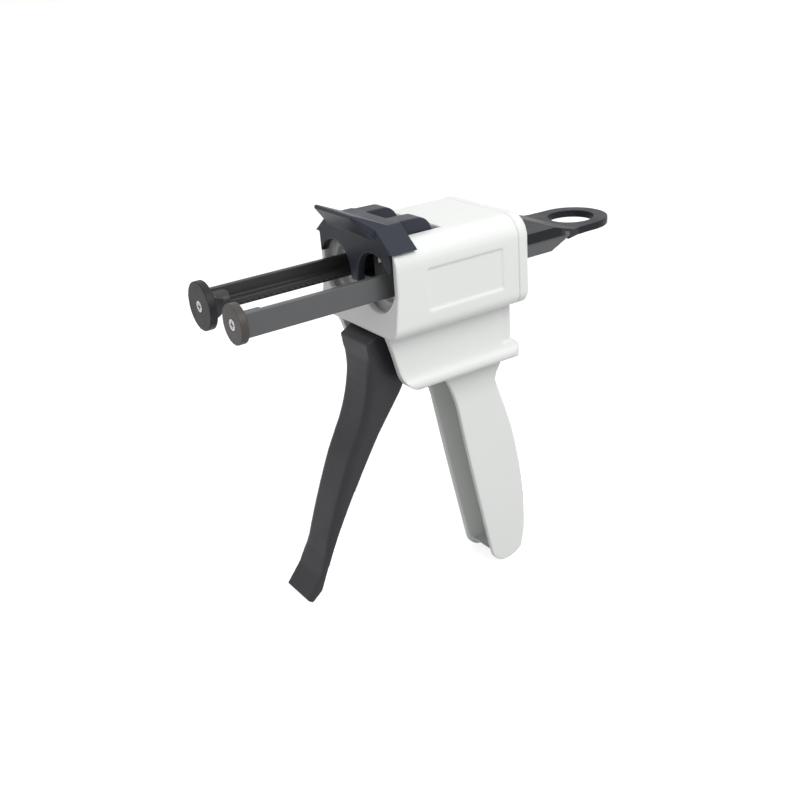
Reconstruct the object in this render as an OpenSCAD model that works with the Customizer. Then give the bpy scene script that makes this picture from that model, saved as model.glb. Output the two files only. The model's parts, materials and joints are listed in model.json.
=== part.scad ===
// Two-barrel dental dispensing tool: a squeeze gun that pushes two plungers into a
// double cartridge of paste. -X is the way the paste leaves, +Z is up, -Y is the
// operator's left. The origin is the middle of the cartridge seat, level with the
// plunger axes. Lengths are millimetres, angles are degrees.

/* [Plungers] */
// Distance between the two plunger axes
plunger_pitch = 26; // [25.8:0.1:26.2]
// Diameter of the larger push disc
disc_large_d = 18; // [17:0.1:18.4]
// Diameter of the smaller push disc
disc_small_d = 14.4; // [13.6:0.1:14.8]
// Thickness of the push discs
disc_t = 3; // [2.6:0.1:3.2]
// How far the disc faces stand in front of the cartridge seat
disc_reach = 62.5; // [57.5:2.5:67.5]
// Length of a plunger rod behind its disc
rod_l = 143.5; // [140:0.5:150]
// Height of a plunger rod
rod_h = 8.7; // [8.3:0.1:8.9]
// Thickness of a rod's upright outer web
rod_web_t = 2.5; // [2:0.1:2.8]
// Thickness of a rod's toothed inner flange
flange_t = 2.4; // [2.2:0.1:2.5]
// Depth of the drive teeth
tooth_h = 1.2; // [1.1:0.05:1.3]

/* [Housing] */
// Width of the upper housing
body_w = 52; // [51.6:0.2:53]
// Height of the housing top above the plunger axes
body_top = 16; // [15.8:0.1:16.4]
// Depth of the upper housing below the plunger axes
body_drop = 19; // [18.8:0.1:19.2]
// Rear end of the housing, where the rear cover meets it
seam_x = 51.1; // [50.6:0.1:51.8]
// Thickness of the rear cover
cover_t = 4.7; // [4.3:0.1:5.2]
// Wall thickness of the upper housing
wall = 2.6; // [2.4:0.1:2.8]
// Half of the width of the waist under the upper housing
waist_half = 17.5; // [17.2:0.1:18]
// Half of the width of the rounded rim under the waist
rim_half = 20; // [19.4:0.1:20.6]
// Depth of the rim below the plunger axes
rim_drop = 43.4; // [43:0.1:44]
// Length of the grip below the rim
grip_l = 98.8; // [95:0.2:103]
// Half of the width of the grip
grip_half = 9.8; // [9.4:0.1:10.4]
// Wall thickness of the grip
grip_wall = 2.2; // [1.8:0.1:2.6]

/* [Cartridge slot] */
// Thickness of cartridge flange that the slot takes
flange_slot = 2.8; // [2.7:0.1:3]
// Radius of the cut-outs that the cartridge barrels lie in
barrel_cut_r = 10.5; // [10.3:0.1:10.6]
// Thickness of the seat wall that the cartridge pushes against
seat_t = 7; // [6.8:0.1:7.2]

/* [Trigger] */
// Half of the width of the trigger
trigger_half = 9.5; // [9:0.1:9.6]
// Length of the trigger below its pivot
trigger_l = 97.6; // [94:0.2:100]
// Angle that the trigger squeezes through
squeeze = 36; // [34:1:38]
// Diameter of the trigger pivot pin
pivot_d = 5; // [4.6:0.2:5.2]

/* [Pull handle] */
// Outer radius of the finger ring
ring_r = 15; // [14.6:0.1:15.4]
// Radius of the round ends of the finger hole
finger_r = 9.3; // [8.8:0.1:9.8]
// Thickness of the pull handle
plate_t = 3; // [2.6:0.1:3.2]

/* [Hidden] */

// Colours of the moulded and metal parts
white = [0.88, 0.89, 0.87];
charcoal = [0.2, 0.2, 0.22];
graphite = [0.3, 0.3, 0.32];
rod_grey = [0.34, 0.35, 0.36];
nylon = [0.16, 0.16, 0.17];
steel = [0.72, 0.73, 0.75];
bronze = [0.7, 0.55, 0.32];

// Smoothness of round parts and of the large ring
$fn = 48;
ring_fn = 96;

// Gap between pieces that slide or swing past each other
play = 0.3;
// Gap between pieces that are held together
seat_gap = 0.02;
// Gap round a running pin, a pressed pin and a screw's shank
pin_play = 0.05;
press_gap = 0.01;
screw_gap = 0.05;
// Overruns that carry a cut past a face, and the sinking that joins two shapes of one piece
cut = 1;
far_cut = 12;
sink = 0.1;

// Plunger axes and discs
axis_y = plunger_pitch / 2;
disc_large_r = disc_large_d / 2;
disc_small_r = disc_small_d / 2;

// Rods: an upright outer web with a toothed flange on its inner side
rod_offset = 5;
flange_w = 3.7;
flange_drop = 0.3;
tooth_pitch = 2.5;
teeth_ahead = 20;
teeth_count = 41;
tooth_root_t = 0.2;
taper_l = 9.5;
tail_l = 8.4;
tail_h = 1.85;
rod_top = rod_h / 2;
rod_out = axis_y + rod_offset;
rod_in = rod_out - rod_web_t;
flange_in = rod_in - flange_w;
flange_top = -flange_drop;
flange_bot = flange_top - flange_t;
rod_front = -disc_reach + disc_t;
rod_back = rod_front + rod_l;
teeth_x = -teeth_ahead * tooth_pitch;

// Neck that widens a rod behind its disc
neck_l = 8;
neck_w = 8.7;
neck_h = 7.8;
neck_plate_t = 0.8;
neck_boss_r = 3.6;
neck_skin = 1;
neck_in = rod_in - neck_w;

// Screws with pan heads
m3_r = 1.45;
m3_head_r = 2.6;
m3_head_t = 1.8;
disc_head_r = 2.1;
disc_head_t = 1.2;
disc_screw_l = 7.6;
head_gap = 0.15;
small_screw_r = 1.1;
small_head_r = 1.8;
small_head_t = 1.3;
slot_w = 0.6;
slot_l_share = 0.6;

// Upper housing: front wall, lip, seat, chamber and flank panels
top_r = 8.5;
bottom_r = 5;
front_wall_t = 1.6;
lip_reach = 2.2;
lip_r = 0.8;
ramp_drop = 2;
post_drop = 1.6;
slot_drop = 12;
pocket_gap = 0.6;
pocket_slack = 0.5;
window_half = 7.5;
window_top = 12.3;
panel_front = 8.8;
panel_back = 43.4;
panel_top = 5.5;
panel_low = -10.4;
panel_depth = 0.6;
body_half = body_w / 2;
front_x = -flange_slot - front_wall_t;
lip_x = front_x - lip_reach;
cut_half = axis_y + barrel_cut_r;
slot_half = cut_half + play;
chamber_floor = -body_drop + wall;

// Waist, rim and the lower chamber
flare_r = 3.4;
rim_r = 2.6;
rim_turn = 60;
rim_flare_h = 6.5;
rim_back_r = 3.6;
rim_back_turn = 0;
waist_back_x = 55;
waist_step = 0.5;
waist_step_l = 6.8;
waist_corner_r = 3.5;
rim_overhang = 3;
rim_corner_r = 6;
lower_wall = 3;
lower_back_t = 4.4;
lower_sill = 2.6;
floor_t = 2.8;
floor_front_x = 22;
rib_t = 2.8;
waist_h = rim_drop - body_drop;
lower_half = waist_half - lower_wall;
lower_back_x = waist_back_x - lower_back_t;
rim_back_x = waist_back_x + rim_overhang;
waist_step_x = waist_back_x - waist_step_l;
sill_x = seam_x - lower_sill;

// Grip: back wall, foot and the step under the foot
grip_x = 24;
grip_back_t = 2.7;
foot_t = 1.8;
foot_rise = 1.3;
foot_inset = 1.2;

// Retaining lever: hood, slotted front plate, thumb tab and two rear arms
hinge_x = 13.5;
hinge_z = 14.2;
hub_r = 5.9;
arm_rise = 1.1;
arm_nose = 80;
arm_turn = 170;
lever_pin_r = 1.25;
lever_pin_half = 19;
arm_in = 6.8;
arm_screw_gap = 3.5;
hood_overhang = 1.6;
hood_back_x = 5.3;
hood_low = 13.4;
hood_top = 21.4;
hood_top_half = 16;
hood_t = 2.4;
hood_side_t_share = 1.3;
hood_slant_share = 0.4;
hood_gap = 0.3;
lever_plate_t = 3.15;
outer_leg_low = 6;
leg_root_h = 4;
mid_leg_half = 2.3;
mid_leg_low = -1;
arch_rise = 1.5;
crest_x = -12.2;
crest_z = 25.8;
crest_half = 12.6;
crest_r = 0.8;
crest_top_turn = 67;
crest_low_turn = 221;
lip_low = 17.5;
slot_back_x = 23.2;
slot_gap = 0.35;
arm_end_z = hinge_z + arm_rise;
hood_front_x = front_x - hood_overhang;
plate_back_x = -flange_slot - pin_play;
plate_front_x = plate_back_x - lever_plate_t;
plate_half = cut_half - play;
shoulder_z = hood_low - hood_gap;
lever_back_x = hood_back_x + hood_gap;

// Blocks under the top that carry the lever's pin
pin_block_half = 5;
pin_block_w = 4.9;
pin_block_drop = 3;
block_skin = 1.3;

// Leaf under the lever's arms and its screw
leaf_t = 0.4;
leaf_front = 4;
leaf_back = 7;
leaf_screw_x = 3;
detent_screw_l = 4.4;
leaf_top = hinge_z - hub_r - play;

// Rod guide behind the seat
guide_l = 5.2;
guide_side_gap = 3;
guide_floor_t = 1.35;
guide_roof_t = 2.05;
guide_play = 0.1;
ear_t = 3;
ear_inset = 1.9;
ear_half = 2.5;
ear_z = 8.2;
ear_top = 10.4;
guide_screw_l = 6;
guide_front = seat_t + seat_gap;
guide_half = body_half - wall - guide_side_gap;
ear_y = guide_half - ear_inset;
arm_out = ear_y - arm_screw_gap;

// Trigger and its pivot
pivot_x = 15;
pivot_z = -25;
stroke_teeth = 3;
hub_half = 9.6;
trigger_hub_r = 6.5;
arm_half = 4.4;
arm_end_r = 2.5;
arm_root_front = 4.6;
arm_root_back = 6;
arm_root_rise = 3;
drive_pin_r = 1.6;
drive_pin_half = 9;
trigger_wall = 2.4;
tip_taper = 0.9;
taper_start_share = 0.36;
tail_top_rise = 2.5;
tail_t = 3;
spring_x = 25.5;
spring_seat_w = 3.2;
arm_l = tooth_pitch * stroke_teeth / (2 * sin(squeeze / 2));
drive_x = pivot_x + arm_l * sin(squeeze / 2);
drive_z = pivot_z + arm_l * cos(squeeze / 2);
tail_top_z = pivot_z + tail_top_rise;

// Folded steel frame, bushes and clips
frame_gap = 1;
frame_t = 1.5;
frame_front_x = 7.6;
frame_back_x = 38;
frame_top = -9.1;
frame_low = -31.5;
frame_wall_t = 2;
frame_nose_back = 2;
frame_nose_rise = 4;
bush_r = 3.6;
bush_flange_r = 5.2;
clip_t = 0.8;
clip_w = 1.8;
clip_gap_half = 1;
pin_end = 1.9;
bar_half_x = 3;
bar_t = 2;
bar_low = -12.2;
frame_screw_y = 7.5;
frame_screw_z = -24;
frame_screw_l = 4.6;
frame_in = hub_half + frame_gap;
frame_out = frame_in + frame_t;
rib_x = frame_back_x + seat_gap;

// Return spring between the trigger's tail and the frame's bar
coil_r = 2.8;
coil_wire = 0.7;
coil_turns = 4.5;
coil_sides = 6;
coil_steps = 12;

// Pawl: two fingers on a cross bar, drawn where they catch the teeth and then parked
pawl_x = 30;
pawl_rise = 1.6;
pawl_swing = 7;
pawl_pin_r = 0.9;
pawl_hub_r = 1.5;
pawl_gap = 0.2;
pawl_lug_t = 1.6;
pawl_lug_half_x = 2.3;
pawl_lug_rise = 1.4;
finger_inset = 0.4;
bite = 9.6;
bite_rise = 2.6;
bite_l = 2;
bite_fall = 0.96;
finger_low = 0.2;
finger_top = 1.4;
finger_root = 2;
finger_root_low = 1.2;
cross_front = 6;
cross_back = 3;
cross_low = 0.1;
cross_top = 1.6;
link_w = 3;
finger_in = flange_in + finger_inset;
finger_out = rod_in - finger_inset;
pawl_lug_out = finger_in - pawl_gap;
pawl_lug_in = pawl_lug_out - pawl_lug_t;
pawl_bar_half = pawl_lug_in - pawl_gap;

// Drive carriage
carriage_front = 14.9;
carriage_back = 32.5;
carriage_t = 2.8;
carriage_gap = 0.1;
lug_in = 4.9;
lug_t = 4;
lug_half_x = 3;
lug_depth = 7.6;
drive_play = 0.08;
pin_rise = 0.9;
carriage_half = finger_out;
carriage_low = frame_top + carriage_gap;
carriage_top = carriage_low + carriage_t;
pawl_z = carriage_top + pawl_rise;

// Bent leaf that lifts the pawl
pawl_leaf_half = 5;
pawl_leaf_foot = 2.4;
pawl_leaf_l = 4.6;
pawl_leaf_rise = 0.5;

// Pull handle
yoke_grip_l = 25.5;
roof_t = 0.95;
skirt_t = 0.9;
skirt_h = 4.2;
skirt_cut = 3;
fork_l = 9.5;
fork_w = 7.7;
fork_setback = 1.5;
flat_l = 17.5;
cheek_l = 20.5;
slope_run = 13;
ring_drop = 3.9;
throat_l = 33;
throat_half = 15.3;
ring_l = 43;
finger_slot = 0.5;
yoke_screw_first = 7.5;
yoke_screw_pitch = 8;
yoke_screw_l = 5.4;
yoke_boss_r = 2.4;
yoke_skin = 1.4;
yoke_front = rod_back - yoke_grip_l;
plate_front = yoke_front + fork_l;
yoke_top = rod_top + roof_t;
yoke_half = rod_out + skirt_t;
yoke_in = yoke_half - fork_w;
skirt_low = yoke_top - skirt_h;
slope_start = yoke_front + flat_l;
slope_end = slope_start + slope_run;
ring_x = yoke_front + ring_l;
ring_top = yoke_top - ring_drop;
handle_low = ring_top - plate_t - cut;
handle_high = yoke_top + cut;
yoke_screw_y = (flange_in + rod_in) / 2;
yoke_screws = [yoke_front + yoke_screw_first, yoke_front + yoke_screw_first + yoke_screw_pitch];

// Rear cover, its screws and their bosses
cover_edge = 1;
cover_edge_inset = 0.6;
cover_boss_r = 3;
cover_boss_l = 11;
cover_screw_l = 9;
cover_screw_inset = 5.5;
cover_screw_high = 9.5;
cover_screw_low = -13.4;
cover_gap = 0.4;
cover_sill = 1.4;
cover_screw_y = body_half - cover_screw_inset;
cover_screws = [for (y = [-cover_screw_y, cover_screw_y])
                for (z = [cover_screw_low, cover_screw_high]) [y, z]];

// Points of an arc, of a curve that one control point bends, and of shares at a place
function arc(c, r, a0, a1, n = 8) =
    [for (i = [0:n]) let (a = a0 + (a1 - a0) * i / n) [c[0] + r * cos(a), c[1] + r * sin(a)]];
function bend(p, q, s, n = 8) =
    [for (i = [0:n]) let (t = i / n) (1 - t) * (1 - t) * p + 2 * t * (1 - t) * q + t * t * s];
function placed(shares, origin, span) = [for (s = shares) origin + s * span];

// Front edge of the waist, as shares of its height from the lip's lower edge
waist_front_shares = concat([[0.048, 0.1], [0.07, 0], [0.16, -0.287]],
                            bend([0.254, -0.66], [0.326, -0.97], [0.64, -1]));

// Front, foot and back of the grip, as shares of its length from its upper front corner
grip_front_shares = concat([[-0.01, 0.024], [0.006, -0.016]],
                           bend([0.028, -0.06], [0.054, -0.116], [0.072, -0.186]),
                           bend([0.102, -0.347], [0.14, -0.547], [0.223, -0.945]));
grip_foot_shares = bend([0.229, -0.962], [0.281, -1.038], [0.385, -0.97], 6);
grip_back_shares = concat(bend([0.403, -0.888], [0.423, -0.667], [0.347, -0.353]),
                          bend([0.317, -0.257], [0.277, -0.146], [0.269, -0.114], 4),
                          [[0.275, -0.086], [0.299, -0.049], [0.33, 0.024]]);

// Front, back and hollow of the trigger, as shares of its length from its pivot
trigger_front_shares = concat([[-0.02, 0.06], [-0.123, 0.057], [-0.195, 0.046], [-0.246, 0.018]],
                              bend([-0.238, -0.056], [-0.244, -0.205], [-0.305, -0.332], 6),
                              bend([-0.368, -0.451], [-0.454, -0.645], [-0.512, -0.826], 6),
                              [[-0.549, -0.904], [-0.617, -0.985]]);
trigger_back_shares = concat([[-0.596, -1], [-0.548, -0.963]],
                             bend([-0.478, -0.798], [-0.361, -0.569], [-0.225, -0.364], 6),
                             [[-0.111, -0.214], [-0.055, -0.123], [0.031, -0.064]]);
trigger_hollow_shares = concat(bend([-0.129, -0.113], [-0.164, -0.225], [-0.252, -0.344], 6),
                               bend([-0.318, -0.461], [-0.404, -0.656], [-0.47, -0.83], 6),
                               [[-0.36, -0.83], [0.051, -0.256], [-0.057, -0.117]]);

// A flat shape in Y and Z drawn out along X, in X and Z along Y, in X and Y along Z
module along_x(x0, x1) {
    translate([x0, 0, 0]) rotate([90, 0, 90]) linear_extrude(x1 - x0) children();
}
module along_y(y0, y1) {
    translate([0, y1, 0]) rotate([90, 0, 0]) linear_extrude(y1 - y0) children();
}
module along_z(z0, z1) {
    translate([0, 0, z0]) linear_extrude(z1 - z0) children();
}

// A box given by its low and high corners
module box(low, high) {
    translate(low) cube(high - low);
}

// A round bar along X, Y or Z
module bar_x(x0, x1, y, z, r) {
    translate([x0, y, z]) rotate([0, 90, 0]) cylinder(h = x1 - x0, r = r);
}
module bar_y(x, z, y0, y1, r) {
    translate([x, y1, z]) rotate([90, 0, 0]) cylinder(h = y1 - y0, r = r);
}
module bar_z(x, y, z0, z1, r) {
    translate([x, y, z0]) cylinder(h = z1 - z0, r = r);
}

// The same thing on both sides of the middle plane
module both_sides() {
    children();
    mirror([0, 1, 0]) children();
}

// A pan-head screw along X: its head's seat at the origin, its shank towards -X
module screw(r, l, head_r, head_t) {
    half_l = head_r * slot_l_share;
    difference() {
        union() {
            bar_x(-l, head_t / 2, 0, 0, r);
            bar_x(0, head_t, 0, 0, head_r);
        }
        for (a = [0, 90]) rotate([a, 0, 0])
            box([head_t / 2, -half_l, -slot_w / 2], [head_t + cut, half_l, slot_w / 2]);
    }
}

// Outline of the upper housing in Y and Z, drawn in by a wall
module body_section(inset = 0) {
    h = body_half - inset;
    t = body_top - inset;
    b = -body_drop + inset;
    rt = top_r - inset;
    rb = bottom_r - inset / 2;
    polygon(concat(arc([h - rt, t - rt], rt, 0, 90), arc([rt - h, t - rt], rt, 90, 180),
                   arc([rb - h, b + rb], rb, 180, 270), arc([h - rb, b + rb], rb, 270, 360)));
}

// Front edge of the upper housing in X and Z, with its small lip
module front_profile() {
    polygon(concat([[sink, body_top], [front_x, body_top], [front_x, -ramp_drop]],
                   arc([lip_x + lip_r, -body_drop + lip_r], lip_r, 180, 270, 4), [[sink, -body_drop]]));
}

// Outline of the waist and its rounded rim in Y and Z
module waist_section() {
    bead = [rim_half - rim_r, -rim_drop + rim_r];
    top = bead + rim_r * [cos(rim_turn), sin(rim_turn)];
    side = concat([[waist_half + flare_r, chamber_floor]],
                  arc([waist_half + flare_r, -body_drop - flare_r], flare_r, 90, 180),
                  bend([waist_half, top[1] + rim_flare_h], [waist_half, top[1] + rim_r / 2], top),
                  arc(bead, rim_r, rim_turn, -90));
    polygon(concat(side, [for (i = [len(side) - 1:-1:0]) [-side[i][0], side[i][1]]]));
}

// Outline of the waist in X and Z: raked front edge and rounded rear rim
module waist_profile() {
    rim_c = [rim_back_x - rim_back_r, -rim_drop + rim_back_r];
    under = -body_drop - seat_gap;
    polygon(concat(placed(waist_front_shares, [lip_x, -body_drop], waist_h),
                   arc(rim_c, rim_back_r, 270, 360 + rim_back_turn),
                   [[waist_back_x, rim_c[1] + rim_back_r], [waist_back_x, under], [seam_x, under],
                    [seam_x, chamber_floor]]));
}

// Plan that keeps the waist or its rim to a half width behind start, with round rear corners
module rear_plan(half, start, back, r, outer) {
    front = lip_x - cut;
    polygon(concat([[front, -outer], [start, -outer], [start, -half]], arc([back - r, -half + r], r, -90, 0),
                   arc([back - r, half - r], r, 0, 90), [[start, half], [start, outer], [front, outer]]));
}

module waist() {
    rim_top = -rim_drop + rim_back_r * 2;
    rear_half = waist_half - waist_step;
    outer = rim_half + cut;
    rim_start = rim_back_x - rim_corner_r - sink;
    intersection() {
        along_x(lip_x, rim_back_x) waist_section();
        along_y(-rim_half - flare_r, rim_half + flare_r) waist_profile();
        union() {
            along_z(rim_top, 0) rear_plan(rear_half, waist_step_x, waist_back_x, waist_corner_r, body_half);
            along_z(-rim_drop - cut, rim_top) rear_plan(rim_half, rim_start, rim_back_x, rim_corner_r, outer);
        }
    }
}

// Outlines in X and Z of the grip, of the channel between its walls and of the step below its foot
module grip_profile() {
    o = [grip_x, -rim_drop];
    polygon(concat(placed(grip_front_shares, o, grip_l), placed(grip_foot_shares, o, grip_l),
                   placed(grip_back_shares, o, grip_l)));
}
module grip_channel() {
    o = [grip_x, -rim_drop];
    foot = placed(grip_foot_shares, o, grip_l);
    back = placed(grip_back_shares, o, grip_l);
    polygon(concat([[0, -rim_drop], [0, foot[0][1] + foot_rise + foot_t]],
                   [for (p = foot) p + [0, foot_rise + foot_t]],
                   [for (p = back) [p[0] - grip_back_t, min(p[1], -rim_drop)]]));
}
module grip_foot_step() {
    foot = placed(grip_foot_shares, [grip_x, -rim_drop], grip_l);
    front = foot[0][0] - foot_inset;
    low = foot[0][1] - far_cut;
    high = foot[0][1] + foot_rise + foot_t;
    polygon(concat([[front, low], [front, high], [front + foot_inset * 2, high]],
                   [for (p = foot) p + [foot_inset, foot_rise]], [[foot[len(foot) - 1][0], low]]));
}

module housing_outside() {
    along_x(0, seam_x) body_section();
    intersection() {
        along_x(lip_x - cut, sink) body_section();
        along_y(-body_half, body_half) front_profile();
    }
    waist();
    along_y(-grip_half, grip_half) grip_profile();
}

module housing_hollows() {
    seat_back = seat_t + cut;
    slot_front = -flange_slot + sink;
    channel_half = grip_half - grip_wall;
    under = chamber_floor + cut;
    open = frame_front_x - play;
    sill_low = -body_drop - lower_wall;
    // Room for the lever's hood on the front of the top
    box([lip_x - cut, -body_half - cut, shoulder_z], [lever_back_x, body_half + cut, body_top + cut]);
    // Slot that the cartridge flange drops into, and the space before it
    box([-flange_slot, -slot_half, -slot_drop], [0, slot_half, body_top]);
    box([lip_x - cut, -cut_half, -post_drop], [slot_front, cut_half, body_top]);
    for (s = [-1, 1]) bar_x(lip_x - cut, slot_front, s * axis_y, 0, barrel_cut_r);
    // Chamber behind the seat
    along_x(seat_t, seam_x + cut) body_section(wall);
    // Pockets that the discs draw back into, and the ways for the rods
    bar_x(-cut, disc_t + pocket_slack, axis_y, 0, disc_large_r + pocket_gap);
    bar_x(-cut, disc_t + pocket_slack, -axis_y, 0, disc_small_r + pocket_gap);
    both_sides() box([-cut, neck_in - play, -rod_top - play], [seat_back, rod_out + play, rod_top + play]);
    box([-cut, -window_half, -rod_top - play], [seat_back, window_half, window_top]);
    // Lower chamber, open to the front and below for the trigger
    along_y(-lower_half, lower_half)
        polygon([[lip_x - cut, -body_drop], [open, -body_drop], [open, under], [sill_x, under],
                 [sill_x, sill_low], [lower_back_x, sill_low], [lower_back_x, -rim_drop + floor_t],
                 [floor_front_x, -rim_drop + floor_t], [floor_front_x, -rim_drop - cut],
                 [lip_x - cut, -rim_drop - cut]]);
    // Slots in the top for the lever's arms
    both_sides() box([lever_back_x - cut, arm_in - slot_gap, leaf_top],
                     [slot_back_x, arm_out + slot_gap, body_top + cut]);
    // Shallow panels in the flanks
    both_sides() box([panel_front, body_half - panel_depth, panel_low],
                     [panel_back, body_half + cut, panel_top]);
    // Channel of the grip
    along_y(-channel_half, channel_half) grip_channel();
    along_y(-channel_half, channel_half) grip_foot_step();
}

module housing_ribs() {
    inner = arm_in - slot_gap;
    outer = arm_out + slot_gap;
    // Blocks that carry the lever's pin
    box([hinge_x - hub_r, -inner, leaf_top], [hinge_x + hub_r, inner, body_top - block_skin]);
    both_sides() box([hinge_x - pin_block_half, outer, hinge_z - pin_block_drop],
                     [hinge_x + pin_block_half, outer + pin_block_w, body_top - block_skin]);
    // Cross rib that the drive frame is screwed to
    box([rib_x, -lower_half - sink, -rim_drop + floor_t - sink],
        [rib_x + rib_t, lower_half + sink, chamber_floor]);
    // Bosses for the rear cover
    for (p = cover_screws) bar_x(seam_x - cover_boss_l, seam_x, p[0], p[1], cover_boss_r);
}

module housing() {
    hole_r = m3_r + screw_gap;
    small_hole_r = small_screw_r + screw_gap;
    pin_half = lever_pin_half + press_gap;
    guide_hole_x = guide_front + ear_t - guide_screw_l;
    color(white) difference() {
        union() {
            difference() {
                housing_outside();
                housing_hollows();
            }
            housing_ribs();
        }
        bar_y(hinge_x, hinge_z, -pin_half, pin_half, lever_pin_r + press_gap);
        for (p = cover_screws) bar_x(seam_x - cover_screw_l, seam_x + cut, p[0], p[1], hole_r);
        for (s = [-1, 1]) bar_x(rib_x - cut, rib_x + rib_t + cut, s * frame_screw_y, frame_screw_z, hole_r);
        for (s = [-1, 1]) bar_x(guide_hole_x, seat_t + cut, s * ear_y, ear_z, small_hole_r);
        bar_z(hinge_x + leaf_screw_x, 0, leaf_top - cut, leaf_top + detent_screw_l, small_hole_r);
    }
}

module rear_cover() {
    back = seam_x + cover_t;
    half = yoke_half + play;
    color(white) difference() {
        union() {
            along_x(seam_x + seat_gap, back - cover_edge) body_section();
            along_x(back - cover_edge, back) body_section(cover_edge_inset);
        }
        box([seam_x, -half, -cover_sill], [back + cut, half, yoke_top + cover_gap]);
        both_sides() box([seam_x, yoke_in - cover_gap, -rod_top - cover_gap], [back + cut, half, 0]);
        for (p = cover_screws) {
            bar_x(seam_x, back + cut, p[0], p[1], m3_r + screw_gap);
            bar_x(back - m3_head_t, back + cut, p[0], p[1], m3_head_r + head_gap);
        }
    }
}

module rear_cover_screws() {
    seat_x = seam_x + cover_t - m3_head_t + seat_gap;
    color(steel) for (p = cover_screws) translate([seat_x, p[0], p[1]])
        screw(m3_r, cover_screw_l, m3_head_r, m3_head_t - seat_gap);
}

// Outline of the lever's hood in Y and Z, drawn in by a wall
module hood_section(t = 0) {
    side = body_half - t * hood_side_t_share;
    top_half = hood_top_half - t * hood_slant_share;
    low = hood_low - (t > 0 ? cut : 0);
    polygon([[-side, low], [-top_half, hood_top - t], [top_half, hood_top - t], [side, low]]);
}

// Front plate of the lever: two arches over the barrels and three legs
module lever_plate_section() {
    shoulder = hood_top_half + leg_root_h;
    root_z = outer_leg_low - leg_root_h;
    difference() {
        polygon([[-plate_half, outer_leg_low], [-plate_half, hood_low + cut],
                 [-shoulder, hood_top - leg_root_h], [shoulder, hood_top - leg_root_h],
                 [plate_half, hood_low + cut], [plate_half, outer_leg_low],
                 [mid_leg_half, root_z], [mid_leg_half, mid_leg_low], [-mid_leg_half, mid_leg_low],
                 [-mid_leg_half, root_z]]);
        for (s = [-1, 1]) translate([s * axis_y, arch_rise]) circle(r = barrel_cut_r);
    }
}

// Thumb tab, outlined from the side, the front and above: its sides fall back to the hood's corners
module thumb_tab() {
    top = crest_z + crest_r;
    tip = crest_x - crest_r;
    spread_share = (hood_top_half - crest_half) / (top - hood_top);
    low_half = crest_half + (top - lip_low) * spread_share;
    ridge = arc([crest_x, crest_z], crest_r, crest_top_turn, crest_low_turn, 6);
    intersection() {
        along_y(-hood_top_half, hood_top_half)
            polygon(concat([[0, hood_top - hood_t], [0, hood_top]], ridge,
                           [[plate_front_x, lip_low], [plate_back_x, lip_low]]));
        along_x(tip, 0)
            polygon([[-crest_half, top], [crest_half, top], [low_half, lip_low], [-low_half, lip_low]]);
        along_z(lip_low, top)
            polygon([[0, -hood_top_half], [0, hood_top_half], [hood_front_x, hood_top_half],
                     [tip, crest_half], [tip, -crest_half], [hood_front_x, -hood_top_half]]);
    }
}

module lever_arm() {
    root_x = hood_back_x - hood_t;
    along_y(arm_in, arm_out)
        polygon(concat([[root_x, shoulder_z + hood_t], [root_x, hood_top], [hinge_x, arm_end_z + hub_r]],
                       arc([hinge_x, arm_end_z], hub_r, arm_nose, 0),
                       arc([hinge_x, hinge_z], hub_r, 0, -arm_turn, 16)));
}

module retaining_lever() {
    color(charcoal) difference() {
        union() {
            difference() {
                along_x(hood_front_x, hood_back_x) hood_section();
                along_x(plate_back_x, hood_back_x - hood_t) hood_section(hood_t);
            }
            along_x(plate_front_x, plate_back_x) lever_plate_section();
            thumb_tab();
            both_sides() lever_arm();
        }
        bar_y(hinge_x, hinge_z, -arm_out - cut, arm_out + cut, lever_pin_r + pin_play);
    }
}

module lever_pin() {
    color(steel) bar_y(hinge_x, hinge_z, -lever_pin_half, lever_pin_half, lever_pin_r);
}

module lever_detent_spring() {
    z = leaf_top - seat_gap;
    color(steel) difference() {
        box([hinge_x - leaf_front, -arm_out, z - leaf_t], [hinge_x + leaf_back, arm_out, z]);
        bar_z(hinge_x + leaf_screw_x, 0, z - cut, z + cut, small_screw_r + screw_gap);
    }
}

module detent_screw() {
    z = leaf_top - leaf_t - seat_gap * 2;
    color(steel) translate([hinge_x + leaf_screw_x, 0, z]) rotate([0, 90, 0])
        screw(small_screw_r, detent_screw_l, small_head_r, small_head_t);
}

module rod_guide() {
    top = rod_top + guide_roof_t;
    back = guide_front + guide_l;
    ear_back = guide_front + ear_t;
    color(nylon) difference() {
        union() {
            box([guide_front, -guide_half, -rod_top - guide_floor_t], [back, guide_half, top]);
            both_sides() box([guide_front, ear_y - ear_half, top - sink],
                             [ear_back, ear_y + ear_half, ear_top]);
        }
        both_sides() box([guide_front - cut, neck_in - play, -rod_top - guide_play],
                         [back + cut, rod_out + guide_play, rod_top + guide_play]);
        for (s = [-1, 1]) {
            bar_x(guide_front - cut, ear_back + cut, s * ear_y, ear_z, small_screw_r + screw_gap);
            bar_x(ear_back, back + cut, s * ear_y, ear_z, small_head_r + head_gap);
        }
    }
}

module guide_screws() {
    color(steel) for (s = [-1, 1]) translate([guide_front + ear_t + seat_gap, s * ear_y, ear_z])
        screw(small_screw_r, guide_screw_l, small_head_r, small_head_t);
}

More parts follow.
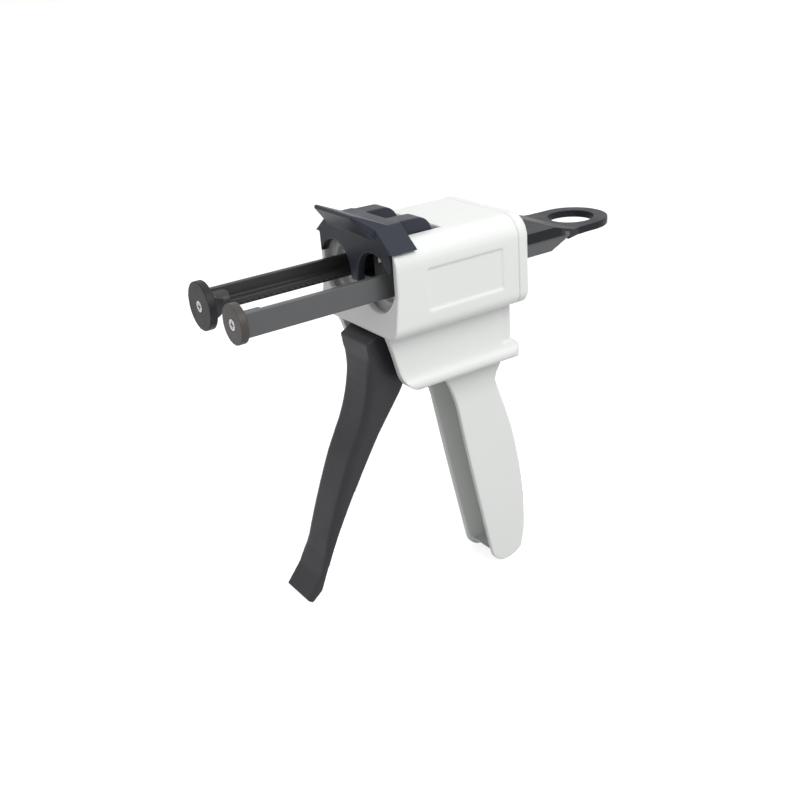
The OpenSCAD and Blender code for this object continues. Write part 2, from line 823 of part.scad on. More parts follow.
// Side plates, rear wall and spring bar of the folded steel frame
module drive_frame() {
    wall_front = frame_back_x - frame_wall_t;
    bar_edge = frame_in + sink;
    color(steel) difference() {
        union() {
            both_sides() along_y(frame_in, frame_out)
                polygon([[frame_front_x, frame_top], [frame_back_x, frame_top], [frame_back_x, frame_low],
                         [pivot_x - frame_nose_back, frame_low], [frame_front_x, pivot_z + frame_nose_rise]]);
            box([wall_front, -frame_out, frame_low], [frame_back_x, frame_out, chamber_floor - play]);
            box([spring_x - bar_half_x, -bar_edge, bar_low],
                [spring_x + bar_half_x, bar_edge, bar_low + bar_t]);
        }
        bar_y(pivot_x, pivot_z, -frame_out - cut, frame_out + cut, bush_r);
        for (s = [-1, 1])
            bar_x(wall_front - cut, frame_back_x + cut, s * frame_screw_y, frame_screw_z, m3_r + screw_gap);
    }
}

module frame_screws() {
    x = frame_back_x - frame_wall_t - seat_gap;
    color(steel) for (s = [-1, 1]) translate([x, s * frame_screw_y, frame_screw_z]) mirror([1, 0, 0])
        screw(m3_r, frame_screw_l, m3_head_r, m3_head_t);
}

// Outline of the trigger in Y and Z: it narrows a little towards the tip
module trigger_section() {
    taper_z = pivot_z - trigger_l * taper_start_share;
    tip_z = pivot_z - trigger_l - cut;
    tip_half = trigger_half - tip_taper;
    polygon([[-trigger_half, 0], [-trigger_half, taper_z], [-tip_half, tip_z], [tip_half, tip_z],
             [trigger_half, taper_z], [trigger_half, 0]]);
}

module trigger() {
    o = [pivot_x, pivot_z];
    rim = trigger_half - trigger_wall;
    color(charcoal) difference() {
        union() {
            intersection() {
                along_y(-trigger_half, trigger_half)
                    polygon(placed(concat(trigger_front_shares, trigger_back_shares), o, trigger_l));
                along_x(pivot_x - trigger_l, pivot_x + trigger_l) trigger_section();
            }
            bar_y(pivot_x, pivot_z, -hub_half, hub_half, trigger_hub_r);
            along_y(-arm_half, arm_half)
                polygon([[pivot_x - arm_root_front, pivot_z + arm_root_rise], [drive_x - arm_end_r, drive_z],
                         [drive_x + arm_end_r, drive_z], [pivot_x + arm_root_back, pivot_z]]);
            bar_y(drive_x, drive_z, -arm_half, arm_half, arm_end_r);
            box([pivot_x, -arm_half, tail_top_z - tail_t], [spring_x + spring_seat_w, arm_half, tail_top_z]);
        }
        along_y(-rim, rim) polygon(placed(trigger_hollow_shares, o, trigger_l));
        bar_y(pivot_x, pivot_z, -hub_half - cut, hub_half + cut, pivot_d / 2 + pin_play);
        bar_y(drive_x, drive_z, -arm_half - cut, arm_half + cut, drive_pin_r + press_gap);
    }
}

module trigger_pin() {
    half = frame_out + pin_end;
    color(steel) bar_y(pivot_x, pivot_z, -half, half, pivot_d / 2);
}

module trigger_bushes() {
    inner = hub_half + pin_play * 2;
    color(bronze) both_sides() difference() {
        union() {
            bar_y(pivot_x, pivot_z, inner, frame_out, bush_r - press_gap);
            bar_y(pivot_x, pivot_z, inner, frame_in - seat_gap, bush_flange_r);
        }
        bar_y(pivot_x, pivot_z, inner - cut, frame_out + cut, pivot_d / 2 + seat_gap);
    }
}

module pivot_clips() {
    inner = frame_out + seat_gap * 2;
    low = pivot_z - pivot_d - clip_w;
    color(steel) both_sides() difference() {
        bar_y(pivot_x, pivot_z, inner, inner + clip_t, pivot_d / 2 + clip_w);
        bar_y(pivot_x, pivot_z, inner - cut, inner + clip_t + cut, pivot_d / 2 + seat_gap);
        box([pivot_x - clip_gap_half, inner - cut, low],
            [pivot_x + clip_gap_half, inner + clip_t + cut, pivot_z - pivot_d / 4]);
    }
}

// A round wire wound along Z, its ends square
module coil(r, wire, h, turns, sides, steps) {
    n = turns * steps;
    points = [for (i = [0:n]) for (j = [0:sides - 1])
              let (a = 360 * i / steps, b = 360 * j / sides, q = r + wire / 2 * cos(b))
                  [q * cos(a), q * sin(a), h * i / n + wire / 2 * sin(b)]];
    side_faces = [for (i = [0:n - 1]) for (j = [0:sides - 1])
                  let (k = (j + 1) % sides) for (f = [[j, k, sides + k], [j, sides + k, sides + j]])
                      [for (v = f) i * sides + v]];
    first = [[for (j = [sides - 1:-1:0]) j]];
    last = [[for (j = [0:sides - 1]) n * sides + j]];
    polyhedron(points = points, faces = concat(first, side_faces, last));
}

module trigger_return_spring() {
    low = tail_top_z + coil_wire / 2 + pin_play;
    high = bar_low - coil_wire / 2 - pin_play;
    color(steel) translate([spring_x, 0, low])
        coil(coil_r, coil_wire, high - low, coil_turns, coil_sides, coil_steps);
}

module drive_pin() {
    color(steel) bar_y(drive_x, drive_z, -drive_pin_half, drive_pin_half, drive_pin_r);
}

module drive_carriage() {
    slot_half_x = drive_pin_r + drive_play;
    lug_low = carriage_low - lug_depth;
    color(graphite) difference() {
        union() {
            box([carriage_front, -carriage_half, carriage_low], [carriage_back, carriage_half, carriage_top]);
            both_sides() box([drive_x - lug_half_x, lug_in, lug_low],
                             [drive_x + lug_half_x, lug_in + lug_t, carriage_low + sink]);
            both_sides() box([pawl_x - pawl_lug_half_x, pawl_lug_in, carriage_top - sink],
                             [pawl_x + pawl_lug_half_x, pawl_lug_out, pawl_z + pawl_lug_rise]);
        }
        both_sides() box([drive_x - slot_half_x, lug_in - cut, lug_low - cut],
                         [drive_x + slot_half_x, lug_in + lug_t + cut, drive_z + drive_pin_r + pin_rise]);
        bar_y(pawl_x, pawl_z, -carriage_half, carriage_half, pawl_pin_r + press_gap);
    }
}

// Side outline of a pawl finger in X and Z, seen from its pin
module finger_profile() {
    polygon([[0, finger_top], [0, -finger_top], [-finger_root, -finger_root_low], [-bite, -finger_low],
             [-bite, bite_rise], [bite_l - bite, bite_rise - bite_fall]]);
}

module drive_pawl() {
    link_in = pawl_bar_half - link_w;
    color(steel) difference() {
        translate([pawl_x, 0, pawl_z]) rotate([0, -pawl_swing, 0]) {
            bar_y(0, 0, -pawl_bar_half, pawl_bar_half, pawl_hub_r);
            both_sides() bar_y(0, 0, finger_in, finger_out, pawl_hub_r);
            both_sides() along_y(finger_in, finger_out) finger_profile();
            box([-cross_front, -finger_out, cross_low], [-cross_back, finger_out, cross_top]);
            both_sides() box([-cross_back - sink, link_in, cross_low], [0, pawl_bar_half, finger_top]);
        }
        bar_y(pawl_x, pawl_z, -finger_out - cut, finger_out + cut, pawl_pin_r + pin_play);
    }
}

module pawl_pin() {
    color(steel) bar_y(pawl_x, pawl_z, -finger_out, finger_out, pawl_pin_r);
}

module pawl_spring() {
    back = pawl_x - pawl_lug_half_x - play;
    fold = back - pawl_leaf_foot;
    tip = back - pawl_leaf_l;
    z = carriage_top + seat_gap;
    color(steel) along_y(-pawl_leaf_half, pawl_leaf_half)
        polygon([[back, z], [back, z + leaf_t], [fold, z + leaf_t], [tip, z + leaf_t + pawl_leaf_rise],
                 [tip, z + pawl_leaf_rise], [fold, z]]);
}

// Saw teeth in X and Z whose upright faces look to the rear
module tooth_row() {
    root = flange_bot + tooth_h;
    tips = [for (k = [0:teeth_count - 1]) for (q = [0, 1])
            [teeth_x + (k + q) * tooth_pitch, root - q * tooth_h]];
    polygon(concat([[teeth_x, root + tooth_root_t]], tips,
                   [[teeth_x + teeth_count * tooth_pitch, root + tooth_root_t]]));
}

// Side outline of a rod in X and Z
module rod_profile() {
    polygon([[rod_front, -rod_top], [rod_back - taper_l, -rod_top], [rod_back, 0], [rod_back, tail_h],
             [rod_back - tail_l, rod_top], [rod_front, rod_top]]);
}

// Wedge that carries the disc, in plan and from the side
module rod_neck() {
    wide = rod_front + neck_plate_t;
    back = rod_front + neck_l;
    outer = rod_in + sink;
    high = neck_h / 2;
    intersection() {
        along_z(-high, high)
            polygon([[rod_front, neck_in], [wide, neck_in], [back, flange_in], [back, outer],
                     [rod_front, outer]]);
        along_y(neck_in, outer)
            polygon([[rod_front, -high], [wide, -high], [back, flange_bot], [back, flange_top], [wide, high],
                     [rod_front, high]]);
    }
}

// The right-hand rod. Its teeth hide behind the web's lower edge
module plunger_rod() {
    teeth_end = teeth_x + teeth_count * tooth_pitch;
    outer = rod_in + sink;
    color(rod_grey) difference() {
        union() {
            along_y(rod_in, rod_out) rod_profile();
            intersection() {
                along_y(flange_in, outer) rod_profile();
                union() {
                    box([rod_front, flange_in, flange_bot + tooth_h], [rod_back, outer, flange_top]);
                    box([rod_front, flange_in, flange_bot], [teeth_x, outer, flange_top]);
                    box([teeth_end, flange_in, flange_bot], [rod_back, outer, flange_top]);
                    along_y(flange_in, outer) tooth_row();
                }
            }
            rod_neck();
            bar_x(rod_front, rod_front + neck_l, axis_y, 0, neck_boss_r);
        }
        bar_x(rod_front - cut, rod_front + neck_l - neck_skin, axis_y, 0, m3_r + screw_gap);
        for (x = yoke_screws)
            bar_z(x, yoke_screw_y, -rod_top - cut, flange_top + cut, small_screw_r + screw_gap);
    }
}

module large_plunger_rod() {
    plunger_rod();
}

module small_plunger_rod() {
    mirror([0, 1, 0]) plunger_rod();
}

// A push disc on the axis at y, with a pocket for the screw's head
module push_disc(y, r) {
    face = -disc_reach;
    color(graphite) difference() {
        bar_x(face, rod_front - seat_gap, y, 0, r);
        bar_x(face - cut, rod_front, y, 0, m3_r + screw_gap);
        bar_x(face - cut, face + disc_head_t, y, 0, disc_head_r + head_gap);
    }
}

module large_push_disc() {
    push_disc(axis_y, disc_large_r);
}

module small_push_disc() {
    push_disc(-axis_y, disc_small_r);
}

module disc_screws() {
    x = -disc_reach + disc_head_t - seat_gap;
    color(steel) for (s = [-1, 1]) translate([x, s * axis_y, 0]) mirror([1, 0, 0])
        screw(m3_r, disc_screw_l, disc_head_r, disc_head_t - seat_gap);
}

// Plan of the pull handle: parallel cheeks, a throat and the ring
module handle_plan() {
    cheek_end = yoke_front + cheek_l;
    throat_x = yoke_front + throat_l;
    polygon([[yoke_front, yoke_half], [cheek_end, yoke_half], [throat_x, throat_half], [ring_x, ring_r],
             [ring_x, -ring_r], [throat_x, -throat_half], [cheek_end, -yoke_half], [yoke_front, -yoke_half]]);
    translate([ring_x, 0]) circle(r = ring_r, $fn = ring_fn);
}

module handle_plate_profile() {
    far = ring_x + ring_r + cut;
    polygon([[plate_front, yoke_top], [slope_start, yoke_top], [slope_end, ring_top], [far, ring_top],
             [far, ring_top - plate_t], [slope_end - cut, ring_top - plate_t],
             [slope_start - cut, yoke_top - plate_t], [plate_front, yoke_top - plate_t]]);
}

module handle_cheek_profile() {
    polygon([[yoke_front, yoke_top], [slope_start, yoke_top], [slope_end, ring_top],
             [slope_end, ring_top - plate_t], [rod_back + play, ring_top - plate_t],
             [rod_back - skirt_cut, skirt_low], [yoke_front, skirt_low]]);
}

module pull_handle() {
    tail = rod_back + seat_gap;
    front = yoke_front - cut;
    color(graphite) difference() {
        union() {
            intersection() {
                along_z(handle_low, handle_high) handle_plan();
                union() {
                    along_y(-yoke_half, yoke_half) handle_plate_profile();
                    both_sides() along_y(rod_in - sink, yoke_half) handle_cheek_profile();
                }
            }
            both_sides() box([yoke_front + fork_setback, yoke_in, yoke_top - plate_t],
                             [plate_front + cut, rod_in, yoke_top]);
            both_sides() for (x = yoke_screws)
                bar_z(x, yoke_screw_y, flange_top + seat_gap, yoke_top - cut, yoke_boss_r);
        }
        // Room for the rods' webs
        both_sides() along_y(rod_in - seat_gap, rod_out + seat_gap)
            polygon([[front, handle_low], [tail, handle_low], [tail, tail_h + seat_gap],
                     [rod_back - tail_l, rod_top + seat_gap], [front, rod_top + seat_gap]]);
        both_sides() for (x = yoke_screws)
            bar_z(x, yoke_screw_y, flange_top - cut, yoke_top - yoke_skin, small_screw_r + screw_gap);
        // Finger hole with round ends
        for (x = [ring_x - finger_slot, ring_x]) bar_z(x, 0, handle_low, handle_high, finger_r);
        box([ring_x - finger_slot, -finger_r, handle_low], [ring_x, finger_r, handle_high]);
    }
}

module pull_handle_screws() {
    color(steel) both_sides() for (x = yoke_screws)
        translate([x, yoke_screw_y, flange_bot - seat_gap]) rotate([0, 90, 0])
            screw(small_screw_r, yoke_screw_l, small_head_r, small_head_t);
}

housing();
rear_cover();
rear_cover_screws();
retaining_lever();
lever_pin();
lever_detent_spring();
detent_screw();
rod_guide();
guide_screws();
drive_frame();
frame_screws();
trigger();
trigger_pin();
trigger_bushes();
pivot_clips();
trigger_return_spring();
drive_pin();
drive_carriage();
drive_pawl();
pawl_pin();
pawl_spring();
small_plunger_rod();
large_plunger_rod();
small_push_disc();
large_push_disc();
disc_screws();
pull_handle();
pull_handle_screws();
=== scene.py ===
# %% [markdown]
# # A two-barrel dental dispensing tool
#
# A dentist squeezes this tool to press two pastes out of a double cartridge. The body
# and grip are white moulded plastic, and the trigger, lever, rods and pull handle are
# dark glass-filled plastic. The exact solids are already made. This script dresses
# them: it softens the moulded edges, rounds the front corners of the trigger, gives
# each piece its finish, and sets the light and the camera.

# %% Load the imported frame
import bmesh
import bpy
import json
import math
from mathutils import Matrix, Vector


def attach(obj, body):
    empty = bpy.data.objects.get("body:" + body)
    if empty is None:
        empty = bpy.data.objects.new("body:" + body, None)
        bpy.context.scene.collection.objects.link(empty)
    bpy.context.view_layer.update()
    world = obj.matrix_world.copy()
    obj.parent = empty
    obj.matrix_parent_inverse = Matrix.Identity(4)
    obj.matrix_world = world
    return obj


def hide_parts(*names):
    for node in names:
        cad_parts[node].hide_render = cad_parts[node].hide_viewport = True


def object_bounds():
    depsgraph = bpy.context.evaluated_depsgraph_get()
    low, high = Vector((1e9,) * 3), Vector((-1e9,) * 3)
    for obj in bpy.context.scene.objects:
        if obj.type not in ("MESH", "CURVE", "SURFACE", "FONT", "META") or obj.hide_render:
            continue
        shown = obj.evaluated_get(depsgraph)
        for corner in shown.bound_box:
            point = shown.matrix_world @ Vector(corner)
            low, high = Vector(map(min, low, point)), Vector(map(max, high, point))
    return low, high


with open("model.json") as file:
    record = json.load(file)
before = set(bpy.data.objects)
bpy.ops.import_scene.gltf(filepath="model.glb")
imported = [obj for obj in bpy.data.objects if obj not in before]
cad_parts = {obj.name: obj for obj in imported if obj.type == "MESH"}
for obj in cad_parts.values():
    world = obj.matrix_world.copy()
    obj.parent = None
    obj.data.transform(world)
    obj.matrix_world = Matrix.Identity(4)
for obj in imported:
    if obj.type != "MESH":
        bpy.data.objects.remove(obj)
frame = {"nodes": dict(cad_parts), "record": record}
cad_low, cad_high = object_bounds()
MM = 0.001
print("solids span", [round(v / MM, 1) for v in cad_high - cad_low], "mm")

# %% [markdown]
# The camera stands in front and to the left, a little above, as in a catalogue
# picture. Its place was found by matching the ends of the rods and the corners of the
# housing. A long lens keeps the rods nearly parallel, so a normal lens close up would
# not do.

# %% Camera
AZIMUTH = math.radians(-32.76)
ELEVATION = math.radians(24.28)
ROLL = math.radians(-4.35)
SENSOR_MM = 36.0
IMAGE_W = 800
FOCAL_PX = 1045.8
CAMERA_AT = Vector((-194.9, -318.1, 116.4)) * MM
NEAREST_SEEN = 10 * MM

forward = Vector((-math.sin(AZIMUTH) * math.cos(ELEVATION),
                  math.cos(AZIMUTH) * math.cos(ELEVATION), -math.sin(ELEVATION)))
level_right = forward.cross(Vector((0, 0, 1))).normalized()
level_up = level_right.cross(forward)
right = level_right * math.cos(ROLL) + level_up * math.sin(ROLL)
up = level_up * math.cos(ROLL) - level_right * math.sin(ROLL)

camera_data = bpy.data.cameras.new("catalogue_camera")
camera_data.sensor_width = SENSOR_MM
camera_data.lens = FOCAL_PX * SENSOR_MM / IMAGE_W
camera_data.clip_start = NEAREST_SEEN
camera = bpy.data.objects.new("catalogue_camera", camera_data)
camera.matrix_world = Matrix((
    (right.x, up.x, -forward.x, CAMERA_AT.x),
    (right.y, up.y, -forward.y, CAMERA_AT.y),
    (right.z, up.z, -forward.z, CAMERA_AT.z),
    (0, 0, 0, 1)))
bpy.context.scene.collection.objects.link(camera)
bpy.context.scene.camera = camera
print("lens", round(camera_data.lens, 2), "mm")

# %% [markdown]
# The tool stands on a large white table that runs on to the horizon, so nothing is
# seen behind it but white. The floor is a single wide face: a curved backdrop would
# show its bend from other sides.

# %% Floor
FLOOR_HALF = 6.0
floor_shape = bmesh.new()
bmesh.ops.create_grid(floor_shape, x_segments=1, y_segments=1, size=FLOOR_HALF)
bmesh.ops.translate(floor_shape, verts=floor_shape.verts, vec=(0, 0, cad_low.z))
floor_mesh = bpy.data.meshes.new("table_top")
floor_shape.to_mesh(floor_mesh)
floor_shape.free()
floor = bpy.data.objects.new("table_top", floor_mesh)
bpy.context.scene.collection.objects.link(floor)

# %% [markdown]
# A finish is a shader tree. Small helpers make the nodes that the finishes share. They
# read object coordinates, so that a pattern stays on its piece when the piece moves.

# %% Helpers for finishes
def new_finish(name, roughness):
    """A material with a principled shader, its nodes and links."""
    finish = bpy.data.materials.new(name)
    finish.use_nodes = True
    nodes, links = finish.node_tree.nodes, finish.node_tree.links
    shader = nodes["Principled BSDF"]
    shader.inputs["Roughness"].default_value = roughness
    return finish, nodes, links, shader


def add_noise(nodes, links, place, scale, detail):
    """Noise over the piece's own coordinates."""
    noise = nodes.new("ShaderNodeTexNoise")
    noise.inputs["Scale"].default_value = scale
    noise.inputs["Detail"].default_value = detail
    links.new(place, noise.inputs["Vector"])
    return noise.outputs["Fac"]


def remap(nodes, links, value, low, high, from_low=0.3, from_high=0.7):
    """A value stretched to another range. Noise lies mostly between 0.3 and 0.7."""
    node = nodes.new("ShaderNodeMapRange")
    node.inputs["From Min"].default_value = from_low
    node.inputs["From Max"].default_value = from_high
    node.inputs["To Min"].default_value = low
    node.inputs["To Max"].default_value = high
    links.new(value, node.inputs["Value"])
    return node.outputs["Result"]


def mix_colours(nodes, links, factor, first, second):
    """Two colours, or a colour socket and a colour, mixed by a factor."""
    node = nodes.new("ShaderNodeMix")
    node.data_type = "RGBA"
    links.new(factor, node.inputs["Factor"])
    for socket, colour in ((node.inputs["A"], first), (node.inputs["B"], second)):
        if isinstance(colour, tuple):
            socket.default_value = (*colour, 1)
        else:
            links.new(colour, socket)
    return node.outputs["Result"]


def tinted(colour, factor):
    """A colour made lighter or darker."""
    return tuple(min(channel * factor, 1) for channel in colour)


def add_bump(nodes, links, height, strength, depth, shader):
    """A shader's surface raised and sunk by a height."""
    bump = nodes.new("ShaderNodeBump")
    bump.inputs["Strength"].default_value = strength
    bump.inputs["Distance"].default_value = depth
    links.new(height, bump.inputs["Height"])
    links.new(bump.outputs["Normal"], shader.inputs["Normal"])


# %% [markdown]
# Moulded plastic isn't one flat colour. Its tone drifts by a few hundredths over
# centimetres, its gloss varies with the tool's polish, and spark-eroded grain breaks up
# the highlights. Corners that are held wear a little lighter.

# %% Moulded plastic
MICRON = 1e-6
DRIFT_SCALE, DRIFT_DETAIL = 28, 4
SMEAR_SCALE, SMEAR_DETAIL, SMEAR = DRIFT_SCALE * 3, 5, 0.06
GRAIN_SCALE, GRAIN_DETAIL, GRAIN_STRENGTH = 1400, 3, 0.6
EDGE_FROM, EDGE_TO = 0.52, 0.6
RUBBED_TINT = 1.9


def moulded_plastic(name, colour, roughness, grain_um, wear, drift, gloss):
    """Plastic with drifting tone and gloss, fine grain and worn edges."""
    finish, nodes, links, shader = new_finish(name, roughness)
    shader.inputs["Specular IOR Level"].default_value = gloss
    place = nodes.new("ShaderNodeTexCoord").outputs["Object"]
    cloud = add_noise(nodes, links, place, DRIFT_SCALE, DRIFT_DETAIL)
    tone = mix_colours(nodes, links, cloud, tinted(colour, 1 - drift), tinted(colour, 1 + drift))
    sharpness = nodes.new("ShaderNodeNewGeometry").outputs["Pointiness"]
    edge = remap(nodes, links, sharpness, 0, wear, EDGE_FROM, EDGE_TO)
    rubbed = mix_colours(nodes, links, edge, tone, tinted(colour, RUBBED_TINT))
    links.new(rubbed, shader.inputs["Base Color"])
    smear = add_noise(nodes, links, place, SMEAR_SCALE, SMEAR_DETAIL)
    sheen = remap(nodes, links, smear, roughness - SMEAR, roughness + SMEAR)
    links.new(sheen, shader.inputs["Roughness"])
    grain = add_noise(nodes, links, place, GRAIN_SCALE, GRAIN_DETAIL)
    add_bump(nodes, links, grain, GRAIN_STRENGTH, grain_um * MICRON, shader)
    return finish


# %% [markdown]
# Each plastic is one row. A low gloss keeps the dark pieces dark under the wide lamps: a
# darker colour alone would still leave a grey sheen on them. The far rod and disc lie in
# shade and look nearly black beside the greyer near ones, so those two have a row of
# their own: darker copies of the rod and disc plastic, which is painted shade.

# %% The plastics
# Colour, roughness, grain in microns, wear, drift and gloss
PLASTICS = {
    "white_plastic": ((0.785, 0.8, 0.785), 0.42, 18, 0.0, 0.025, 0.5),
    "lever_plastic": ((0.033, 0.037, 0.05), 0.4, 25, 0.3, 0.05, 0.15),
    "trigger_plastic": ((0.027, 0.027, 0.032), 0.44, 30, 0.3, 0.05, 0.3),
    "rod_plastic": ((0.085, 0.087, 0.09), 0.4, 22, 0.3, 0.05, 0.5),
    "disc_plastic": ((0.066, 0.056, 0.053), 0.45, 22, 0.4, 0.05, 0.3),
    "handle_plastic": ((0.016, 0.017, 0.021), 0.4, 25, 0.35, 0.05, 0.12),
    "guide_nylon": ((0.03, 0.03, 0.033), 0.5, 20, 0.2, 0.05, 0.5),
    "carriage_plastic": ((0.06, 0.06, 0.065), 0.55, 35, 0.3, 0.05, 0.5),
    # Darker copies of the rod and disc plastic for the far rod and disc: painted shade.
    "rod_plastic_painted_shade": ((0.03, 0.03, 0.032), 0.42, 22, 0.3, 0.05, 0.3),
    "disc_plastic_painted_shade": ((0.02, 0.019, 0.023), 0.45, 22, 0.5, 0.05, 0.2),
}
FINISHES = {name: moulded_plastic(name, *row) for name, row in PLASTICS.items()}
print("plastics", len(FINISHES))

# %% [markdown]
# The screws, pins, springs and the folded frame are metal. Drawn or rolled metal has
# faint lines along one way, so its noise is stretched along X, and its gloss follows
# the lines.

# %% Drawn and plated metal
LINE_SCALE, LINE_DETAIL = 260, 4
CLOUD_SCALE, CLOUD_DETAIL = 90, 3
CLOUD_DARK, CLOUD_LIGHT = 0.88, 1.06
SHEEN_LOW, SHEEN_HIGH = 0.7, 1.4
SCRATCH_STRENGTH, SCRATCH_DEPTH = 0.35, 6 * MICRON


def drawn_metal(name, colour, roughness, along):
    """Metal with fine drawn lines, cloudy gloss and faint scratches."""
    finish, nodes, links, shader = new_finish(name, roughness)
    shader.inputs["Metallic"].default_value = 1.0
    place = nodes.new("ShaderNodeTexCoord").outputs["Object"]
    stretch = nodes.new("ShaderNodeMapping")
    stretch.inputs["Scale"].default_value = along
    links.new(place, stretch.inputs["Vector"])
    lines = add_noise(nodes, links, stretch.outputs["Vector"], LINE_SCALE, LINE_DETAIL)
    cloud = add_noise(nodes, links, place, CLOUD_SCALE, CLOUD_DETAIL)
    tone = mix_colours(nodes, links, cloud, tinted(colour, CLOUD_DARK), tinted(colour, CLOUD_LIGHT))
    links.new(tone, shader.inputs["Base Color"])
    sheen = remap(nodes, links, lines, roughness * SHEEN_LOW, roughness * SHEEN_HIGH)
    links.new(sheen, shader.inputs["Roughness"])
    add_bump(nodes, links, lines, SCRATCH_STRENGTH, SCRATCH_DEPTH, shader)
    return finish


# Colour, roughness, and how much finer the lines are along X, Y and Z
METALS = {
    "frame_steel": ((0.56, 0.57, 0.58), 0.34, (1, 14, 14)),
    "spring_steel": ((0.5, 0.5, 0.51), 0.28, (1, 14, 14)),
    "steel_fasteners": ((0.52, 0.52, 0.53), 0.32, (6, 6, 6)),
    "bush_bronze": ((0.62, 0.44, 0.22), 0.4, (4, 4, 4)),
}
for name, row in METALS.items():
    FINISHES[name] = drawn_metal(name, *row)
print("finishes", len(FINISHES))

# %% [markdown]
# Every solid first takes the finish of its own material slot. Some then stay as they
# are, such as the screws and the works inside, because their shape is already right.

# %% Finishes on the solids
SHARP_ANGLE = math.radians(32)
# The far rod and disc take darker copies of their plastic, as painted shade.
PAINTED_SHADE_FINISH = {"large_plunger_rod": "rod_plastic_painted_shade", "large_push_disc": "disc_plastic_painted_shade"}
slot_of = {part["node"]: part["material_slot"] for part in frame["record"]["subparts"]}


def finish_of(node):
    """A node's painted-shade finish where it has one, or that of its slot."""
    return FINISHES[PAINTED_SHADE_FINISH.get(node, slot_of[node])]


for node, solid in frame["nodes"].items():
    for slot in solid.material_slots:
        slot.material = finish_of(node)
    solid.data.shade_smooth()
    solid.data.set_sharp_from_angle(angle=SHARP_ANGLE)
print("solids with finishes", len(slot_of))

# %% [markdown]
# A moulding has no knife edges: every corner has a small radius, and that radius is
# what catches the light. A bevel on each edge of such a shape would tangle where
# curved and flat faces meet. So a copy of the solid is skinned again in small even
# faces, its corners are eased by smoothing, and the flat stretches are thinned out.

# %% A moulded copy of a solid
MERGE = 0.002 * MM
EASE = 0.5


def baked(piece):
    """The piece's modifiers worked into its mesh."""
    graph = bpy.context.evaluated_depsgraph_get()
    finished = bpy.data.meshes.new_from_object(piece.evaluated_get(graph))
    piece.modifiers.clear()
    piece.data = finished
    return finished


def moulded_copy(name, node, body, voxel, passes, keep, rounding=None):
    """A softened copy of a solid that takes the solid's place."""
    mesh = frame["nodes"][node].data.copy()
    shape = bmesh.new()
    shape.from_mesh(mesh)
    bmesh.ops.remove_doubles(shape, verts=shape.verts, dist=MERGE)
    shape.to_mesh(mesh)
    shape.free()
    piece = bpy.data.objects.new(name, mesh)
    bpy.context.scene.collection.objects.link(piece)
    skin = piece.modifiers.new("even skin", "REMESH")
    skin.mode = "VOXEL"
    skin.voxel_size = voxel
    ease = piece.modifiers.new("eased corners", "SMOOTH")
    ease.factor = EASE
    ease.iterations = passes
    if rounding:
        rounding(baked(piece))
    thin = piece.modifiers.new("thinned flats", "DECIMATE")
    thin.ratio = keep
    finished = baked(piece)
    finished.materials.clear()
    finished.materials.append(finish_of(node))
    finished.shade_smooth()
    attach(piece, body)
    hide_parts(node)
    print(name, len(finished.polygons), "faces")
    return piece


# %% [markdown]
# Fingers close round the front of the trigger, so its two front corners are rounder than
# its other edges. Each point near such a corner lies in a small square, measured from the
# trigger's front and side at its own height. Moving the square's points into a circle
# rounds the corner and leaves everything beyond the square alone. Smoothing harder
# instead would eat away the thin rims of the open back. The change fades out at both
# ends, so no step shows.

# %% Round front of the trigger
CORNER_R = 3.2 * MM
FRONT_TOP = -27 * MM
FRONT_LOW = -112 * MM
FADE_H = 10 * MM
BAND_H = 1 * MM


def between(table, z):
    """A table's value at a height, from the two bands nearest to it."""
    at = z / BAND_H - 0.5
    low = math.floor(at)
    return table[low] * (low + 1 - at) + table[low + 1] * (at - low)


def round_front(mesh):
    """The front corners of the trigger moved from square to round."""
    front_at, half_at = {}, {}
    for vert in mesh.vertices:
        band = math.floor(vert.co.z / BAND_H)
        front_at[band] = min(front_at.get(band, vert.co.x), vert.co.x)
        half_at[band] = max(half_at.get(band, 0), abs(vert.co.y))
    moved = 0
    for vert in mesh.vertices:
        x, y, z = vert.co
        fade = min(1, (FRONT_TOP - z) / FADE_H, (z - FRONT_LOW) / FADE_H)
        if fade <= 0:
            continue
        side = min(1, 1 + (abs(y) - between(half_at, z)) / CORNER_R)
        ahead = min(1, 1 + (between(front_at, z) - x) / CORNER_R)
        if side <= 0 or ahead <= 0:
            continue
        inwards = side * (1 - math.sqrt(1 - ahead * ahead / 2))
        backwards = ahead * (1 - math.sqrt(1 - side * side / 2))
        vert.co.y = y - math.copysign(inwards * CORNER_R * fade, y)
        vert.co.x = x + backwards * CORNER_R * fade
        moved += 1
    print("trigger corners rounded at", moved, "points")


# %% [markdown]
# Nine pieces have corners that show. Large ones take wider faces in their skin, and the
# discs the finest, because a face that is too wide shows as a step on a small round edge.

# %% The mouldings
# Name, node, body, width of a face, smoothing passes, share of the faces kept
MOULDINGS = [
    ("housing_shell", "housing", "frame", 0.42 * MM, 3, 0.38),
    ("rear_plate", "rear_cover", "frame", 0.35 * MM, 3, 0.5),
    ("lever_moulding", "retaining_lever", "lever", 0.32 * MM, 3, 0.5),
    ("trigger_moulding", "trigger", "squeeze_trigger", 0.4 * MM, 5, 0.5, round_front),
    ("pull_moulding", "pull_handle", "plunger", 0.33 * MM, 3, 0.5),
    ("near_rod", "small_plunger_rod", "plunger", 0.3 * MM, 2, 0.5),
    ("far_rod", "large_plunger_rod", "plunger", 0.3 * MM, 2, 0.5),
    ("near_disc", "small_push_disc", "plunger", 0.25 * MM, 2, 0.6),
    ("far_disc", "large_push_disc", "plunger", 0.25 * MM, 2, 0.6),
]
for moulding in MOULDINGS:
    moulded_copy(*moulding)

# %% [markdown]
# The table looks white to the camera, and in reflections, but it is a mid grey to the
# light that falls on it. A truly white table would throw light up under the housing and
# into the grip, and wash out the shade there. It adds a plain glow to its own shading,
# so the tool's shadow still shows on it.

# %% The table's finish
TABLE_GREY = 0.42
TABLE_DRIFT = 1.02
TABLE_SCALE, TABLE_DETAIL = 3, 2
TABLE_ROUGHNESS = 0.8
TABLE_GLOW = 0.8


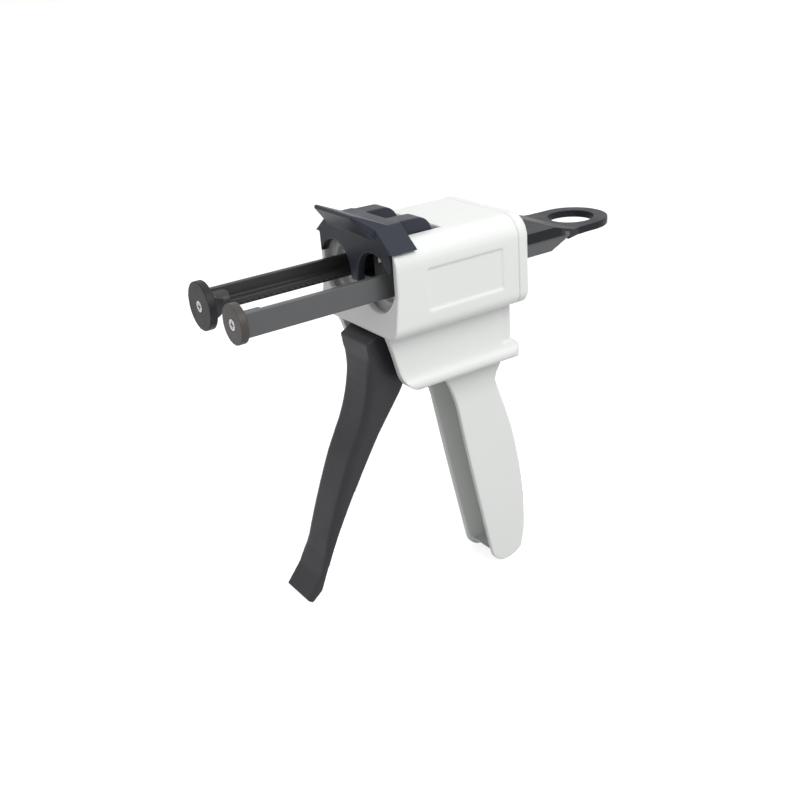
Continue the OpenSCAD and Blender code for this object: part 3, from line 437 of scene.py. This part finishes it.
def seen_directly(nodes, links):
    """One for rays from the camera or off glossy or clear pieces, else zero."""
    rays = nodes.new("ShaderNodeLightPath")
    value = rays.outputs["Is Camera Ray"]
    for kind in ("Is Glossy Ray", "Is Transmission Ray"):
        larger = nodes.new("ShaderNodeMath")
        larger.operation = "MAXIMUM"
        links.new(value, larger.inputs[0])
        links.new(rays.outputs[kind], larger.inputs[1])
        value = larger.outputs["Value"]
    return value


table_finish, nodes, links, shader = new_finish("table_white", TABLE_ROUGHNESS)
place = nodes.new("ShaderNodeTexCoord").outputs["Object"]
shade = add_noise(nodes, links, place, TABLE_SCALE, TABLE_DETAIL)
greys = (TABLE_GREY,) * 3, (TABLE_GREY * TABLE_DRIFT,) * 3
links.new(mix_colours(nodes, links, shade, *greys), shader.inputs["Base Color"])
shader.inputs["Specular IOR Level"].default_value = 0.0
shader.inputs["Emission Color"].default_value = (1, 1, 1, 1)
glow = remap(nodes, links, seen_directly(nodes, links), 0, TABLE_GLOW, 0, 1)
links.new(glow, shader.inputs["Emission Strength"])
floor.data.materials.append(table_finish)

# %% [markdown]
# The world is the walls of a photographer's tent: an even light from all round that is
# kept low, so that it only opens the shadows. To the camera it is a white card.

# %% Surroundings
WORLD_LIGHT = 0.6
CARD_WHITE = 1.0
world = bpy.data.worlds.new("tent")
world.use_nodes = True
bpy.context.scene.world = world
sky_nodes, sky_links = world.node_tree.nodes, world.node_tree.links
tent_light = sky_nodes["Background"]
tent_light.inputs["Color"].default_value = (1, 1, 1, 1)
tent_light.inputs["Strength"].default_value = WORLD_LIGHT
white_card = sky_nodes.new("ShaderNodeBackground")
white_card.inputs["Color"].default_value = (1, 1, 1, 1)
white_card.inputs["Strength"].default_value = CARD_WHITE
either = sky_nodes.new("ShaderNodeMixShader")
sky_links.new(seen_directly(sky_nodes, sky_links), either.inputs["Fac"])
sky_links.new(tent_light.outputs["Background"], either.inputs[1])
sky_links.new(white_card.outputs["Background"], either.inputs[2])
sky_links.new(either.outputs["Shader"], sky_nodes["World Output"].inputs["Surface"])

# %% [markdown]
# The main lamp is high on the left, so the housing's overhang shades the waist below
# it. A weaker one above keeps the top the brightest face.

# %% Lamps
def soft_lamp(name, at, towards, size, power):
    """A square soft lamp that looks at a point."""
    data = bpy.data.lights.new(name, "AREA")
    data.shape = "SQUARE"
    data.size = size
    data.energy = power
    lamp = bpy.data.objects.new(name, data)
    lamp.location = at
    lamp.rotation_mode = "QUATERNION"
    lamp.rotation_quaternion = (Vector(towards) - Vector(at)).to_track_quat("-Z", "Y")
    bpy.context.scene.collection.objects.link(lamp)


AIM = (0.02, 0, -0.04)
soft_lamp("lamp_above", at=(0.15, 0.1, 0.9), towards=AIM, size=0.9, power=1.5)
soft_lamp("lamp_left", at=(0.1, -0.75, 0.72), towards=AIM, size=0.6, power=6.7)
bpy.context.scene.view_settings.view_transform = "Standard"
